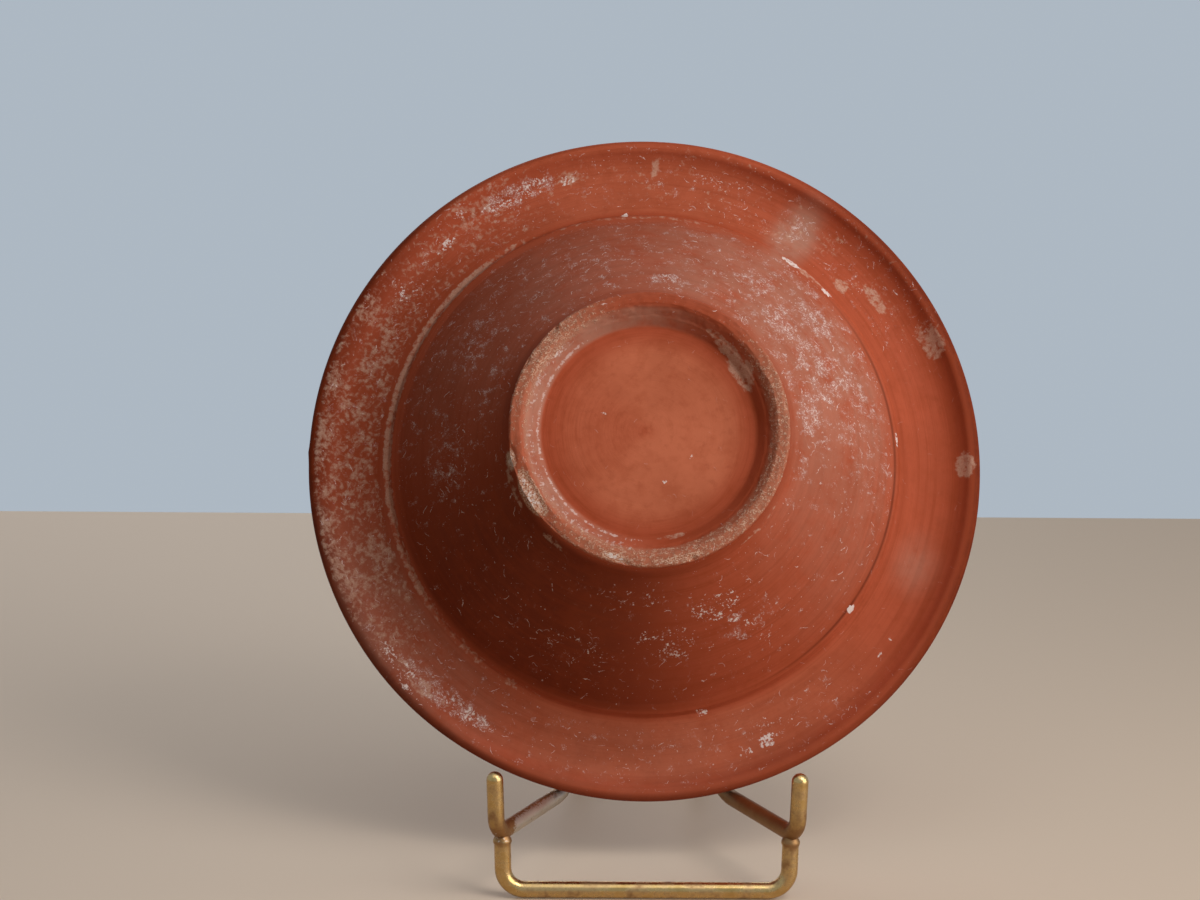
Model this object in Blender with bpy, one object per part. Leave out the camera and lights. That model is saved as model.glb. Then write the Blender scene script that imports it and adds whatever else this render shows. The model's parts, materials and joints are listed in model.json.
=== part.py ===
"""Red-slipped pottery bowl, shown foot forward on a bent wire easel.

Metres, +Z up. The easel's prongs face -Y, and the bowl's foot faces -Y and upwards. The object
stands on z = 0, its halves mirror each other across x = 0, and its depth is centred on y = 0.
"""
import math

import bmesh
import bpy
from mathutils import Matrix, Vector

# Bowl, measured as it stands on its foot ring
RIM_RADIUS = 0.1000
RIM_THICKNESS = 0.0046
CROWN_INSET = 0.0110
CROWN_RISE = 0.0036
DROOP_ANGLE = math.radians(49.0)
RIDGE_RADIUS = 0.0753
RIDGE_HEIGHT = 0.0466
RIDGE_WIDTH = 0.0018
RIDGE_PROUD = 0.0004
WALL_THICKNESS = 0.0050
WALL_BULGE = 0.0012
BASE_THICKNESS = 0.0055
INSIDE_FILLET = 0.0120
FOOT_RADIUS = 0.0387
FOOT_HEIGHT = 0.0050
FOOT_FACE_WIDTH = 0.0037
FOOT_EDGE = 0.0005
RECESS_RADIUS = 0.0302
RECESS_DEPTH = 0.0055
LEDGE_RADIUS = 0.0326
LEDGE_DEPTH = 0.0031
BOWL_SIDES = 80

# Damage on the foot ring, and one small lump on the lip
CHIP_DEPTH = 0.0012
CHIP_ANGLE = math.radians(187.0)
GOUGE_DEPTH = 0.0018
GOUGE_ANGLE = math.radians(166.0)
LUMP_PROUD = 0.0005
LUMP_ANGLE = math.radians(181.0)
DAMAGE_REACH = 0.0060

# Easel
WIRE_DIAMETER = 0.0046
WIRE_SIDES = 12
PRONG_RISE = 0.0178
PRONG_SPLAY = 0.0006
HOOK_HALF_WIDTH = 0.0410
HOOK_BEND = 0.0050
ARM_HEIGHT = 0.0188
ARM_TOE_IN = math.radians(24.5)
CROOK_BEND = 0.0140
UPRIGHT_LEAN = math.radians(10.0)
LOOP_HALF_WIDTH = 0.0110
LOOP_BEND = 0.0100
FRONT_LEG_SETBACK = 0.0030
FRONT_FOOT_HALF_WIDTH = 0.0393
REAR_JOINT_HEIGHT = 0.1050
REAR_FOOT_DISTANCE = 0.1130
REAR_FOOT_HALF_WIDTH = 0.0200
FOOT_BEND = 0.0061

# Where the bowl sits, and the fits
BOWL_LEAN = math.radians(19.0)
SEAT_DISTANCE = 0.0320
TOUCH_GAP = 0.0003
CROOK_CLEARANCE = 0.0010

WIRE_RADIUS = WIRE_DIAMETER / 2
# A bar lies on one of its flats, so its axis is this high.
BAR_HEIGHT = WIRE_RADIUS * math.cos(math.pi / WIRE_SIDES)
# Angles round the quarter circle that domes a wire's end
DOME_ANGLES = [math.radians(angle) for angle in (15.0, 40.0, 65.0, 90.0)]
SHARP_ANGLE = math.radians(40.0)
WELD = 1e-6


def clear_scene():
    """Removes what the start-up file brings."""
    for item in list(bpy.data.objects):
        bpy.data.objects.remove(item, do_unlink=True)


def make_material(name, colour, roughness, metallic):
    """A plain shader for one sub-part."""
    material = bpy.data.materials.new(name)
    material.use_nodes = True
    shader = material.node_tree.nodes["Principled BSDF"]
    shader.inputs["Base Color"].default_value = (*colour, 1.0)
    shader.inputs["Roughness"].default_value = roughness
    shader.inputs["Metallic"].default_value = metallic
    return material


def add_object(name, mesh, material, parent):
    """Puts a mesh in the scene, shaded smooth but for its sharp edges."""
    item = bpy.data.objects.new(name, mesh)
    bpy.context.scene.collection.objects.link(item)
    item.parent = parent
    mesh.materials.append(material)
    mesh.shade_smooth()
    mesh.set_sharp_from_angle(angle=SHARP_ANGLE)
    return item


def close_mesh(shape, mesh):
    """Welds a bmesh's seams, turns its faces outwards and stores it."""
    bmesh.ops.remove_doubles(shape, verts=shape.verts, dist=WELD)
    bmesh.ops.recalc_face_normals(shape, faces=shape.faces)
    shape.to_mesh(mesh)
    shape.free()
    return mesh


# The bowl's section, as (radius, height) pairs

def arc(centre, radius, start, end, steps):
    """Points along a circle in the section. Angles run from +radius towards +height."""
    points = []
    for i in range(steps + 1):
        angle = start + (end - start) * i / steps
        points.append((centre[0] + radius * math.cos(angle), centre[1] + radius * math.sin(angle)))
    return points


def foot_section():
    """From the recessed floor's centre over the foot ring to the foot of the wall."""
    face_inner = FOOT_RADIUS - FOOT_FACE_WIDTH
    return [
        (0.0, RECESS_DEPTH),
        (RECESS_RADIUS - FOOT_EDGE, RECESS_DEPTH),
        (RECESS_RADIUS, RECESS_DEPTH - FOOT_EDGE / 2),
        (LEDGE_RADIUS - FOOT_EDGE, LEDGE_DEPTH + FOOT_EDGE / 2),
        (LEDGE_RADIUS, LEDGE_DEPTH - FOOT_EDGE / 2),
        (face_inner - FOOT_EDGE / 2, FOOT_EDGE),
        (face_inner + FOOT_EDGE, 0.0),
        (FOOT_RADIUS - FOOT_EDGE, 0.0),
        (FOOT_RADIUS, FOOT_EDGE),
        (FOOT_RADIUS - FOOT_EDGE / 2, FOOT_HEIGHT - 2 * FOOT_EDGE),
    ]


def wall_curve():
    """Centre and radius of the wall's slight outward curve, and its angles at foot and ridge."""
    foot = Vector((FOOT_RADIUS, FOOT_HEIGHT))
    ridge = Vector((RIDGE_RADIUS - RIDGE_WIDTH / 2, RIDGE_HEIGHT))
    chord = ridge - foot
    radius = (chord.length ** 2 / 4 + WALL_BULGE ** 2) / (2 * WALL_BULGE)
    inward = Vector((-chord.y, chord.x)).normalized()
    centre = (foot + ridge) / 2 + inward * (radius - WALL_BULGE)
    angles = [math.atan2(point.y - centre.y, point.x - centre.x) for point in (foot, ridge)]
    return centre, radius, angles[0], angles[1]


def flange_curves():
    """The flange's crown, the arc that rises to it, the one that droops from it, and the lip."""
    step = (RIDGE_RADIUS + RIDGE_WIDTH / 2, RIDGE_HEIGHT + RIDGE_WIDTH / 2)
    crown = (RIM_RADIUS - CROWN_INSET, step[1] + CROWN_RISE)
    run = crown[0] - step[0]
    rise_radius = (run ** 2 + CROWN_RISE ** 2) / (2 * CROWN_RISE)
    rise_angle = math.asin(run / rise_radius)
    lip_reach = (CROWN_INSET - RIM_THICKNESS / 2) / math.sin(DROOP_ANGLE)
    droop_radius = lip_reach - RIM_THICKNESS / 2
    lip = (RIM_RADIUS - RIM_THICKNESS / 2, crown[1] - droop_radius + lip_reach * math.cos(DROOP_ANGLE))
    return crown, rise_radius, rise_angle, droop_radius, lip


def flange_section():
    """From the ridge along the flange's underside, round the lip and back along its top."""
    up = math.pi / 2
    crown, rise_radius, rise_angle, droop_radius, lip = flange_curves()
    rise_centre = (crown[0], crown[1] - rise_radius)
    droop_centre = (crown[0], crown[1] - droop_radius)
    points = arc(rise_centre, rise_radius, up + rise_angle, up, 4)
    points += arc(droop_centre, droop_radius, up, up - DROOP_ANGLE, 3)[1:]
    points += arc(lip, RIM_THICKNESS / 2, up - DROOP_ANGLE + math.pi, up - DROOP_ANGLE + math.tau, 6)[1:]
    points += arc(droop_centre, droop_radius + RIM_THICKNESS, up - DROOP_ANGLE, up, 3)[1:]
    points += arc(rise_centre, rise_radius + RIM_THICKNESS, up, up + rise_angle, 3)[1:]
    return points


def inside_section():
    """Down the inside of the wall, round the fillet and across the floor."""
    centre, radius, _, ridge_angle = wall_curve()
    floor_height = RECESS_DEPTH + BASE_THICKNESS
    inner_radius = radius - WALL_THICKNESS
    fillet_height = floor_height + INSIDE_FILLET
    reach = inner_radius - INSIDE_FILLET
    fillet = (centre.x + math.sqrt(reach ** 2 - (fillet_height - centre.y) ** 2), fillet_height)
    tangent_angle = math.atan2(fillet[1] - centre.y, fillet[0] - centre.x)
    points = arc(centre, inner_radius, ridge_angle, tangent_angle, 5)
    points += arc(fillet, INSIDE_FILLET, tangent_angle, -math.pi / 2, 3)[1:]
    return points + [(0.0, floor_height)]


def bowl_section():
    """The whole section, from the axis under the floor round the lip to the axis inside."""
    centre, radius, foot_angle, ridge_angle = wall_curve()
    wall = arc(centre, radius, foot_angle, ridge_angle, 7)[1:]
    ridge = [(RIDGE_RADIUS, RIDGE_HEIGHT - RIDGE_PROUD)]
    return foot_section() + wall + ridge + flange_section() + inside_section()


def damage(point):
    """How far a point of the turned shape is moved by the chips on the foot and the lump."""
    radius = math.hypot(point.x, point.y)
    outward = Vector((point.x, point.y, 0.0)).normalized()
    foot_edge = (FOOT_RADIUS - FOOT_EDGE, 0.0)
    lip = flange_curves()[-1]
    marks = (
        (foot_edge, CHIP_ANGLE, outward * -CHIP_DEPTH),
        (foot_edge, GOUGE_ANGLE, Vector((0, 0, GOUGE_DEPTH)) - outward * GOUGE_DEPTH / 2),
        (lip, LUMP_ANGLE, outward * LUMP_PROUD),
    )
    shift = Vector()
    for (mark_radius, mark_height), angle, move in marks:
        centre = Vector((mark_radius * math.cos(angle), mark_radius * math.sin(angle), mark_height))
        # A mark reaches half as far across the edge as it does along it.
        along = (point - centre).length / DAMAGE_REACH
        across = math.hypot(radius - mark_radius, point.z - mark_height) / (DAMAGE_REACH / 2)
        if along < 1.0 and across < 1.0:
            shift += move * (1.0 - along ** 2) * (1.0 - across ** 2)
    return shift


def bowl_mesh():
    """Spins the section once round, closes it on the axis and adds the damage."""
    shape = bmesh.new()
    corners = [shape.verts.new((radius, 0.0, height)) for radius, height in bowl_section()]
    edges = [shape.edges.new(pair) for pair in zip(corners, corners[1:])]
    bmesh.ops.spin(shape, geom=corners + edges, cent=(0, 0, 0), axis=(0, 0, 1),
                   angle=math.tau, steps=BOWL_SIDES, use_duplicate=False)
    for vert in shape.verts:
        vert.co += damage(vert.co)
    return close_mesh(shape, bpy.data.meshes.new("bowl"))


# The bent wires

def rounded_path(corners, bends, steps):
    """The polyline through the corners, with each inner corner bent round its own radius."""
    path = [corners[0]]
    for before, corner, after, bend in zip(corners, corners[1:], corners[2:], bends):
        back = (before - corner).normalized()
        ahead = (after - corner).normalized()
        half_angle = back.angle(ahead) / 2
        room = min((before - corner).length, (after - corner).length) / 2
        setback = min(bend / math.tan(half_angle), 0.98 * room)
        centre = corner + (back + ahead).normalized() * setback / math.cos(half_angle)
        first = corner + back * setback - centre
        last = corner + ahead * setback - centre
        turn = first.angle(last)
        for i in range(steps + 1):
            share = i / steps
            swing = math.sin((1 - share) * turn) * first + math.sin(share * turn) * last
            path.append(centre + swing / math.sin(turn))
    path.append(corners[-1])
    return path


def mirrored(points):
    """The same points on the other side of the middle plane, in reverse."""
    return [Vector((-point.x, point.y, point.z)) for point in reversed(points)]


def with_domes(path, radius):
    """The path as (place, radius scale) pairs, with both of its ends rounded over."""
    first = (path[1] - path[0]).normalized()
    last = (path[-2] - path[-1]).normalized()
    dome = [(radius * (1.0 - math.cos(angle)), math.sin(angle)) for angle in DOME_ANGLES]
    starts = [(path[0] + first * inset, scale) for inset, scale in dome]
    ends = [(path[-1] + last * inset, scale) for inset, scale in reversed(dome)]
    return starts + [(point, 1.0) for point in path[1:-1]] + ends


def wire_mesh(name, places, radius, turn=0.0):
    """A closed round wire. Its tilt turns one of its flats straight down on a bar, plus the turn."""
    curve = bpy.data.curves.new(name, "CURVE")
    curve.dimensions = "3D"
    curve.bevel_depth = radius
    curve.bevel_resolution = WIRE_SIDES // 2 - 2
    curve.use_fill_caps = True
    spline = curve.splines.new("POLY")
    spline.points.add(len(places) - 1)
    for item, (point, scale) in zip(spline.points, places):
        item.co = (*point, 1.0)
        item.radius = scale
        item.tilt = math.pi / WIRE_SIDES + turn
    holder = bpy.data.objects.new(name, curve)
    bpy.context.scene.collection.objects.link(holder)
    solid = holder.evaluated_get(bpy.context.evaluated_depsgraph_get())
    mesh = bpy.data.meshes.new_from_object(solid)
    bpy.data.objects.remove(holder, do_unlink=True)
    shape = bmesh.new()
    shape.from_mesh(mesh)
    return close_mesh(shape, mesh)


def arm_x(y):
    """How far out the arm's axis is at a distance behind the prongs."""
    return HOOK_HALF_WIDTH - y * math.tan(ARM_TOE_IN)


def upright_ends(crook_y, loop_height):
    """The right upright's axis, from its crook to the corner of the loop."""
    loop_y = crook_y + (loop_height - ARM_HEIGHT) * math.tan(UPRIGHT_LEAN)
    return (Vector((arm_x(crook_y), crook_y, ARM_HEIGHT)),
            Vector((LOOP_HALF_WIDTH, loop_y, loop_height)))


def frame_path(crook_y, loop_height):
    """Axis of the main wire: prong, hook, arm, upright, over the loop and down again."""
    hook = Vector((HOOK_HALF_WIDTH, 0.0, ARM_HEIGHT))
    tip = hook + Vector((PRONG_SPLAY, 0.0, PRONG_RISE))
    right = [tip, hook, *upright_ends(crook_y, loop_height)]
    bends = [HOOK_BEND, CROOK_BEND, LOOP_BEND]
    return rounded_path(right + mirrored(right), bends + bends[::-1], 6)


def foot_mesh(name, top, bottom):
    """A U-shaped foot, bent flat, leaned to reach its joints, and turned so that its bar lies flat."""
    lean = math.atan2(bottom.y - top.y, top.z - bottom.z)
    length = math.hypot(bottom.y - top.y, top.z - bottom.z)
    right = [Vector((top.x, 0.0, length)), Vector((bottom.x, 0.0, 0.0))]
    path = rounded_path(right + mirrored(right), [FOOT_BEND, FOOT_BEND], 6)
    mesh = wire_mesh(name, [(point, 1.0) for point in path], WIRE_RADIUS, lean)
    mesh.transform(Matrix.Translation((0.0, bottom.y, bottom.z)) @ Matrix.Rotation(lean, 4, "X"))
    return mesh


# How the bowl and the easel meet

def search(fits, clashes, test):
    """The last value from one that fits towards one that clashes, found by halving."""
    for _ in range(40):
        middle = (fits + clashes) / 2
        if test(middle):
            fits = middle
        else:
            clashes = middle
    return fits


def arm_distance(point):
    """Distance of a point from the right arm's axis."""
    direction = Vector((-math.sin(ARM_TOE_IN), math.cos(ARM_TOE_IN), 0.0))
    offset = point - Vector((HOOK_HALF_WIDTH, 0.0, ARM_HEIGHT))
    return (offset - direction * offset.dot(direction)).length


def bowl_place():
    """Leans the bowl back and rests its lip on both arms, at the seat's distance."""
    turn = Matrix.Rotation(-(math.pi / 2 + BOWL_LEAN), 4, "X")
    lip_radius, lip_height = flange_curves()[-1]
    lip_points = [turn @ Vector((*point, lip_height)) for point in arc((0, 0), lip_radius, 0, math.pi, 200)]
    lowest = turn @ Vector((0.0, lip_radius, lip_height))
    needed = RIM_THICKNESS / 2 + WIRE_RADIUS + TOUCH_GAP

    def shift_to(height):
        return Vector((0.0, SEAT_DISTANCE, height)) - lowest

    def clears(height):
        shift = shift_to(height)
        return min(arm_distance(point + shift) for point in lip_points) >= needed

    height = search(ARM_HEIGHT + RIM_RADIUS, ARM_HEIGHT - RIM_THICKNESS, clears)
    return Matrix.Translation(shift_to(height)) @ turn


def bowl_distance(point, place, section):
    """Distance of a point from the turned surface, worked out in the bowl's own section."""
    own = place.inverted() @ point
    here = Vector((math.hypot(own.x, own.y), own.z))
    nearest = math.inf
    for start, end in zip(section, section[1:]):
        line = end - start
        share = max(0.0, min(1.0, (here - start).dot(line) / line.length_squared))
        nearest = min(nearest, (here - start - line * share).length)
    return nearest


def closely(path, spacing):
    """The path with points at most a spacing apart."""
    points = [path[0]]
    for start, end in zip(path, path[1:]):
        count = max(1, math.ceil((end - start).length / spacing))
        points += [start.lerp(end, (i + 1) / count) for i in range(count)]
    return points


def fit_frame(place):
    """Finds the crook just behind the flange, and the loop's height just under the wall."""
    section = [Vector(corner) for corner in bowl_section()]
    low_loop = ARM_HEIGHT + RIM_RADIUS / 2
    high_loop = ARM_HEIGHT + 2 * RIM_RADIUS
    step = WIRE_RADIUS
    past_lip = SEAT_DISTANCE + RIM_THICKNESS / 2 + WIRE_RADIUS

    def all_clear(points, needed):
        return all(bowl_distance(point, place, section) >= needed for point in points)

    def crook_clears(crook_y):
        path = closely(frame_path(crook_y, low_loop), step)
        return all_clear([point for point in path if point.y > past_lip], WIRE_RADIUS + CROOK_CLEARANCE)

    crook_y = search(SEAT_DISTANCE + RIM_RADIUS / 2, SEAT_DISTANCE, crook_clears)

    def loop_clears(height):
        path = frame_path(crook_y, height)
        return all_clear([point for point in path if point.z > height - LOOP_BEND], WIRE_RADIUS + TOUCH_GAP)

    height = low_loop
    while height < high_loop and loop_clears(height + step):
        height += step
    return crook_y, search(height, height + step, loop_clears)


def cope(item, cutter):
    """Cuts the ends of a foot wire to fit round the wire that it is brazed to."""
    modifier = item.modifiers.new("cope", "BOOLEAN")
    modifier.operation = "DIFFERENCE"
    modifier.solver = "EXACT"
    modifier.object = cutter


# The object

def make_bowl(root, place):
    """The bowl, leaning back in the easel."""
    slip = make_material("red_slip", (0.41, 0.11, 0.05), 0.45, 0.0)
    bowl = add_object("bowl", bowl_mesh(), slip, root)
    bowl.matrix_local = place


def make_easel(root, place):
    """The frame, which is bent to fit the bowl, and the two feet brazed to it."""
    brass = make_material("brass_wire", (0.72, 0.50, 0.22), 0.3, 1.0)
    crook_y, loop_height = fit_frame(place)
    path = frame_path(crook_y, loop_height)
    add_object("stand_frame", wire_mesh("stand_frame", with_domes(path, WIRE_RADIUS), WIRE_RADIUS),
               brass, root)

    room = wire_mesh("frame_room", [(point, 1.0) for point in path], WIRE_RADIUS + TOUCH_GAP)
    cutter = add_object("frame_room", room, brass, root)
    cutter.hide_render = True
    cutter.display_type = "WIRE"

    crook, corner = upright_ends(crook_y, loop_height)
    joint_share = (REAR_JOINT_HEIGHT - crook.z) / (corner.z - crook.z)
    feet = {
        "stand_front_foot": (Vector((arm_x(FRONT_LEG_SETBACK), FRONT_LEG_SETBACK, ARM_HEIGHT)),
                             Vector((FRONT_FOOT_HALF_WIDTH, FRONT_LEG_SETBACK, BAR_HEIGHT))),
        "stand_rear_leg": (crook.lerp(corner, joint_share),
                           Vector((REAR_FOOT_HALF_WIDTH, REAR_FOOT_DISTANCE, BAR_HEIGHT))),
    }
    for name, (top, bottom) in feet.items():
        cope(add_object(name, foot_mesh(name, top, bottom), brass, root), cutter)


def centre_depth(root):
    """Moves everything so that the object's depth is centred on y = 0."""
    bpy.context.view_layer.update()
    depths = []
    for item in root.children:
        if not item.hide_render:
            depths += [(item.matrix_world @ vert.co).y for vert in item.data.vertices]
    root.location.y = -(min(depths) + max(depths)) / 2


def main():
    """Builds the object from an empty scene."""
    clear_scene()
    root = bpy.data.objects.new("bowl_on_easel", None)
    bpy.context.scene.collection.objects.link(root)
    place = bowl_place()
    make_bowl(root, place)
    make_easel(root, place)
    centre_depth(root)


main()
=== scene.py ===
"""Looks of a red-slipped pottery bowl that leans, foot forward, in a brass wire easel.

Metres, +Z up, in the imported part's frame. The bowl also has a frame of its own: its origin is the
middle of the foot ring's resting face, +Z runs up through the bowl to its mouth, and +X is the
world's. Angles round the bowl are in degrees, clockwise from the right as the camera sees them.
"""
import json
import math

import bpy
import numpy as np
from mathutils import Matrix, Vector

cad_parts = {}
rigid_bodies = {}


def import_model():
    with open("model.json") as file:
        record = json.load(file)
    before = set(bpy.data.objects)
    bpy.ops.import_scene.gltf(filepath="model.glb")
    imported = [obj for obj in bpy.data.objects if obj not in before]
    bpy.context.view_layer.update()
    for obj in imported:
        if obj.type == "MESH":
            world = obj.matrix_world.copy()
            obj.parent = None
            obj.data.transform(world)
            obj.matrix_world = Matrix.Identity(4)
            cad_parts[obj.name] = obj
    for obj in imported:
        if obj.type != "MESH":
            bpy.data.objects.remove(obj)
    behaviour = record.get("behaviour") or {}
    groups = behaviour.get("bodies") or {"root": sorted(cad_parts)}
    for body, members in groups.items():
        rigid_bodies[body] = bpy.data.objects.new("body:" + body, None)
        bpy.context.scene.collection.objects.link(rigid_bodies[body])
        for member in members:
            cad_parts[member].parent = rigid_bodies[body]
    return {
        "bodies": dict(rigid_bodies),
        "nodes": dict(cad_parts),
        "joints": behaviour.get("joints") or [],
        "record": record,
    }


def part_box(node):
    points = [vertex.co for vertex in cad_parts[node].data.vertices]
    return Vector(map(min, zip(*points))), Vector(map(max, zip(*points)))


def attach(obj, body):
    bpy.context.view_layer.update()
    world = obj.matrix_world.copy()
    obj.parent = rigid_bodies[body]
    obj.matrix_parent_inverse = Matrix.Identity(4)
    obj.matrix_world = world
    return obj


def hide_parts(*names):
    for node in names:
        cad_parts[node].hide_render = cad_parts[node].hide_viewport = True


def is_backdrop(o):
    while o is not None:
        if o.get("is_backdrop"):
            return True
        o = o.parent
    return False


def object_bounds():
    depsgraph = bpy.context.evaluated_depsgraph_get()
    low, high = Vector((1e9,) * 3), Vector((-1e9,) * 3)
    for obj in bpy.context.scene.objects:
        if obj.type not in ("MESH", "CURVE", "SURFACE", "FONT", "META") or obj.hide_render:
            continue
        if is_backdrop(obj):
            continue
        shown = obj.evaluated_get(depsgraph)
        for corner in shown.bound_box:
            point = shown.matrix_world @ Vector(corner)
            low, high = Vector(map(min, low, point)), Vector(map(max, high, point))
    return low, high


MM = 0.001

# Bowl, as in the part's source
RIM_RADIUS = 0.1000
RIM_THICKNESS = 0.0046
CROWN_INSET = 0.0110
CROWN_RISE = 0.0036
DROOP_ANGLE = math.radians(49.0)
RIDGE_RADIUS = 0.0753
RIDGE_HEIGHT = 0.0466
RIDGE_WIDTH = 0.0018
RIDGE_PROUD = 0.0004
WALL_THICKNESS = 0.0050
WALL_BULGE = 0.0012
BASE_THICKNESS = 0.0055
INSIDE_FILLET = 0.0120
FOOT_RADIUS = 0.0387
FOOT_HEIGHT = 0.0050
FOOT_FACE_WIDTH = 0.0037
FOOT_EDGE = 0.0005
RECESS_RADIUS = 0.0302
RECESS_DEPTH = 0.0055
LEDGE_RADIUS = 0.0326
LEDGE_DEPTH = 0.0031
FLOOR_RING_RADIUS = 0.0208

# A small lump on the rim
RIM_LUMP_ANGLE = 181.0

# Easel, as in the part's source
WIRE_RADIUS = 0.0023
PRONG_RISE = 0.0178
PRONG_SPLAY = 0.0006
HOOK_HALF_WIDTH = 0.0410
HOOK_BEND = 0.0050
ARM_HEIGHT = 0.0188
ARM_TOE_IN = math.radians(24.5)
CROOK_BEND = 0.0140
UPRIGHT_LEAN = math.radians(10.0)
LOOP_HALF_WIDTH = 0.0110
LOOP_BEND = 0.0100
FRONT_LEG_SETBACK = 0.0030
FRONT_FOOT_HALF_WIDTH = 0.0393
REAR_JOINT_HEIGHT = 0.1050
REAR_FOOT_DISTANCE = 0.1130
REAR_FOOT_HALF_WIDTH = 0.0200
FOOT_BEND = 0.0061

# Mesh density
OUTER_STEP = 0.0008
INNER_STEP = 0.0026
BOWL_SIDES = 340
WIRE_SIDES = 32
PART_WIRE_SIDES = 12
WIRE_STEP = 0.0012
BEND_STEPS = 14
DOME_STEPS = 8

# Camera, table and backdrop
LENS = 60.0
CAMERA_PLACE = (-0.01607, -0.58262, 0.19825)
CAMERA_HEADING = math.radians(0.272)
CAMERA_PITCH = math.radians(-7.924)
CAMERA_ROLL = math.radians(0.415)
TABLE_EDGE = 0.567
TABLE_REACH = 3.0
TABLE_COLOUR = (0.56, 0.45, 0.35)
BACKDROP_COLOUR = (0.42, 0.48, 0.545)

# Linear colours of the slip, from its palest tone to its stains and turning lines; the palest and darkest
# also paint light and shade
SLIP_PALE_AND_LIT = (0.54, 0.152, 0.077)
SLIP_USUAL = (0.415, 0.083, 0.037)
SLIP_DARK_AND_SHADED = (0.135, 0.019, 0.006)
SLIP_STAIN = (0.31, 0.052, 0.016)
SLIP_CLOUD = (0.26, 0.050, 0.018)
SLIP_STREAK = (0.27, 0.044, 0.013)
SLIP_LINE = (0.24, 0.045, 0.016)
SLIP_MOTTLE = (0.25, 0.045, 0.016)

# Linear colours of the clay and of what lies on it
CLAY_RED = (0.44, 0.16, 0.085)
CLAY_PALE = (0.70, 0.51, 0.39)
CLAY_PIT = (0.12, 0.048, 0.026)
CLAY_DUST = (0.52, 0.28, 0.18)
# This pale colour is also a painted highlight on the foot ring's inner slope
RUBBED_AND_HIGHLIGHT = (0.62, 0.46, 0.42)
# The film's colour also paints a highlight on the foot ring's inner slope
FILM_AND_HIGHLIGHT = (0.43, 0.29, 0.22)
CRUST_DARK = (0.54, 0.35, 0.25)
CRUST_PALE = (0.66, 0.48, 0.37)
MARK_DUST = (0.50, 0.34, 0.31)
MARK = (0.74, 0.61, 0.58)
CHALK = (0.78, 0.68, 0.64)

# Linear colours of the brass
BRASS_DEEP = (0.52, 0.33, 0.115)
# The brown also paints a dark reflection of a wooden table
BRASS_BRIGHT = (0.74, 0.53, 0.25)
BRASS_BROWN_AND_REFLECTION = (0.25, 0.115, 0.045)
BRAZE_GREY = (0.60, 0.55, 0.48)

# Spots on the bowl's outer side, placed from the photograph. Each has its angle in degrees,
# its radius, half its length and half its width in millimetres, and its strength in the middle.
CRUST_SPOTS = (
    # Smear, patches and the rim's spot on the flange's right
    (302.5, 84, 5, 11, 0.38), (310.5, 88.5, 7, 6, 0.40), (317.5, 81, 5, 3.6, 0.56),
    (324, 86.5, 9, 3.6, 0.55), (336.5, 94, 10.5, 5.5, 0.54), (0.5, 95.6, 6.8, 4.8, 0.68),
    # Patches on the flange's top and left
    (272.4, 92, 2, 4.6, 0.64), (254.8, 91.5, 7, 3.5, 0.50), (236, 93.5, 12, 5.5, 0.44),
    (135, 93, 20, 5, 0.46),
    # On the ridge
    (311, 75.2, 13, 1.9, 0.56),
    # In the recess
    (305, 32.6, 6, 1.8, 0.50), (314, 31.8, 8, 2.6, 0.58), (327, 30.8, 10, 4.6, 0.66),
    (78, 30.2, 8, 1.4, 0.47),
    # In the corner under the foot ring
    (156, 40.6, 11, 1.6, 0.54), (130, 40.4, 12, 1.2, 0.46), (40, 40.4, 14, 1.1, 0.46),
    (167, 39.4, 5, 1.8, 0.60),
)
CHALK_SPOTS = (
    # Flecks on the recessed floor
    (203.3, 13.5, 1.9, 2.1, 0.48), (72.6, 14.9, 1.5, 1.6, 0.47), (31.6, 13.7, 1.4, 1.4, 0.47),
    # Flecks on and beside the ridge
    (36.2, 74.7, 3, 1.7, 0.62), (77.7, 76.4, 4.4, 2.2, 0.49), (306.1, 75.2, 7, 1.7, 0.58),
    (316.9, 75.2, 4.4, 1.6, 0.58), (265.4, 75.9, 2, 1.8, 0.60), (355, 75.2, 5.5, 0.9, 0.50),
    # Flecks and scatter on the flange's lower side
    (66.3, 90, 5, 4, 0.55), (36.1, 89.5, 1.9, 1.8, 0.56), (39.6, 89.8, 2, 1.6, 0.56),
    (71, 90.5, 5, 3, 0.44), (65, 87, 16, 7, 0.40), (124, 91, 18, 5, 0.44),
    (135, 97, 9, 1.8, 0.47), (140, 94, 18, 4, 0.45), (215, 88, 14, 7, 0.41),
    # Flecks and scatter on the flange's top
    (233.4, 94.6, 4.4, 2.8, 0.47), (245, 92, 24, 5, 0.44), (255, 91, 6, 3, 0.49),
    (228, 90, 8, 3, 0.48), (285, 90, 18, 5, 0.41),
    # Clusters on the wall
    (57.7, 63.5, 4.2, 2.8, 0.47), (64.1, 55.3, 3.2, 2.4, 0.49), (61, 58, 2.4, 2, 0.47),
    (84, 57, 18, 9, 0.40), (68, 51, 16, 7, 0.43), (95, 46, 16, 4, 0.41),
    (277, 46, 11, 3.8, 0.41), (110, 62, 24, 8, 0.39),
    # On the foot ring and in its gouge
    (222, 33, 7, 1.2, 0.46), (105, 37, 6, 1.6, 0.48), (150, 37.6, 11, 3, 0.47),
    (167, 39, 4.5, 1.6, 0.47),
)
WORN_SPOTS = (
    (150, 37.2, 12, 3.8, 0.85), (167, 38.8, 5, 2.2, 0.60), (105, 37.2, 7, 2.2, 0.66),
    (76, 37.2, 11, 2, 0.60), (40, 37.4, 20, 2, 0.50), (345, 37.4, 16, 1.8, 0.48),
)
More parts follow.
